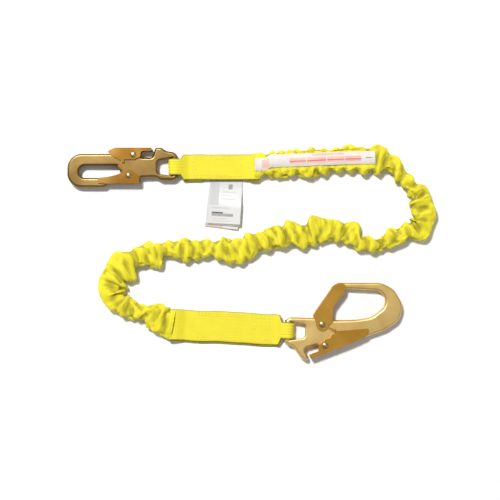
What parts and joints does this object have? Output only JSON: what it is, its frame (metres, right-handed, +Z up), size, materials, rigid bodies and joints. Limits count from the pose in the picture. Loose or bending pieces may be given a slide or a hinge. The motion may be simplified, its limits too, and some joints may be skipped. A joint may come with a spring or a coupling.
{
  "type": "shock absorbing lanyard",
  "caption": "Stretch shock absorbing lanyard with a gathered webbing jacket, flat strap ends, a locking snap hook at one end and a wider locking hook at the other.",
  "frame": {"origin": "on the surface it lies on, under the middle of the box of its hooks and straps", "axes": "+X along the long side of the layout towards the large hook, +Y towards the small hook's side, +Z up"},
  "size_m": [0.4783, 0.2789, 0.0183],
  "materials": {
    "yellow_webbing": "woven polyester webbing, bright yellow",
    "yellow_jacket": "woven polyester sleeve, gathered",
    "core_webbing": "folded energy absorbing weave",
    "elastic": "woven elastic",
    "thread": "sewing thread",
    "label": "woven label cloth with printed bars",
    "booklet": "coated synthetic paper leaves",
    "plated_forging": "yellow chromate over zinc, forged",
    "plated_sheet": "yellow chromate over zinc, pressed",
    "plated_rivet": "yellow chromate over zinc",
    "spring_steel": "bare spring wire"
  },
  "bodies": {
    "lanyard": {"snap_end_strap": "yellow_webbing", "large_end_strap": "yellow_webbing", "outer_jacket": "yellow_jacket", "shock_core": "core_webbing", "elastic_band_upper": "elastic", "elastic_band_lower": "elastic", "snap_end_stitching": "thread", "large_end_stitching": "thread", "jacket_seam_snap": "thread", "jacket_seam_large": "thread", "warning_label": "label", "warning_label_stitching": "thread", "tag_sewn_edge": "booklet", "tag_stitching": "thread"},
    "tag": {"tag_back_leaf": "booklet", "tag_inner_leaf": "booklet", "tag_front_leaf": "booklet"},
    "snap_hook": {"snap_hook_body": "plated_forging", "snap_gate_rivet": "plated_rivet", "snap_lock_rivet": "plated_rivet", "snap_gate_spring": "spring_steel", "snap_lock_spring": "spring_steel"},
    "snap_gate": {"snap_gate": "plated_sheet"},
    "snap_lock_lever": {"snap_lock_lever": "plated_sheet"},
    "large_hook": {"large_hook_body": "plated_forging", "large_gate_rivet": "plated_rivet", "large_lock_rivet": "plated_rivet", "large_gate_spring": "spring_steel", "large_lock_spring": "spring_steel"},
    "large_gate": {"large_gate": "plated_sheet"},
    "large_lock_lever": {"large_lock_lever": "plated_sheet"}
  },
  "joints": [
    {"name": "snap_hook_swing", "type": "hinge", "parent": "lanyard", "child": "snap_hook", "pos_m": [-0.078, 0.1131, 0.0083], "axis": [0, 1, 0], "range_deg": [0, 120]},
    {"name": "large_hook_swing", "type": "hinge", "parent": "lanyard", "child": "large_hook", "pos_m": [0.0696, -0.0995, 0.0083], "axis": [-0.0523, -0.9986, 0], "range_deg": [0, 120]},
    {"name": "snap_gate_hinge", "type": "hinge", "parent": "snap_hook", "child": "snap_gate", "pos_m": [-0.137, 0.1016, 0.0083], "axis": [0, 0, -1], "range_deg": [0, 38], "stiffness_Nm_per_rad": 0.25, "springref_deg": -28.65, "deforming": ["snap_gate_spring"]},
    {"name": "snap_lock_hinge", "type": "hinge", "parent": "snap_hook", "child": "snap_lock_lever", "pos_m": [-0.131, 0.1286, 0.0083], "axis": [0, 0, -1], "range_deg": [0, 14], "deforming": ["snap_lock_spring"]},
    {"name": "large_gate_hinge", "type": "hinge", "parent": "large_hook", "child": "large_gate", "pos_m": [0.11387, -0.09148, 0.0083], "axis": [0, 0, -1], "range_deg": [0, 38], "stiffness_Nm_per_rad": 0.25, "springref_deg": -28.65, "deforming": ["large_gate_spring"]},
    {"name": "large_lock_hinge", "type": "hinge", "parent": "large_hook", "child": "large_lock_lever", "pos_m": [0.11785, -0.11885, 0.0083], "axis": [0, 0, -1], "range_deg": [0, 14], "deforming": ["large_lock_spring"]},
    {"name": "tag_flip", "type": "hinge", "parent": "lanyard", "child": "tag", "pos_m": [-0.0104, 0.0964, 0.00145], "axis": [-1, 0, 0], "range_deg": [0, 85]}
  ],
  "couplings": [
    {"joint": "snap_lock_hinge", "follows": "snap_gate_hinge", "ratio": 0.36842},
    {"joint": "large_lock_hinge", "follows": "large_gate_hinge", "ratio": 0.36842}
  ]
}
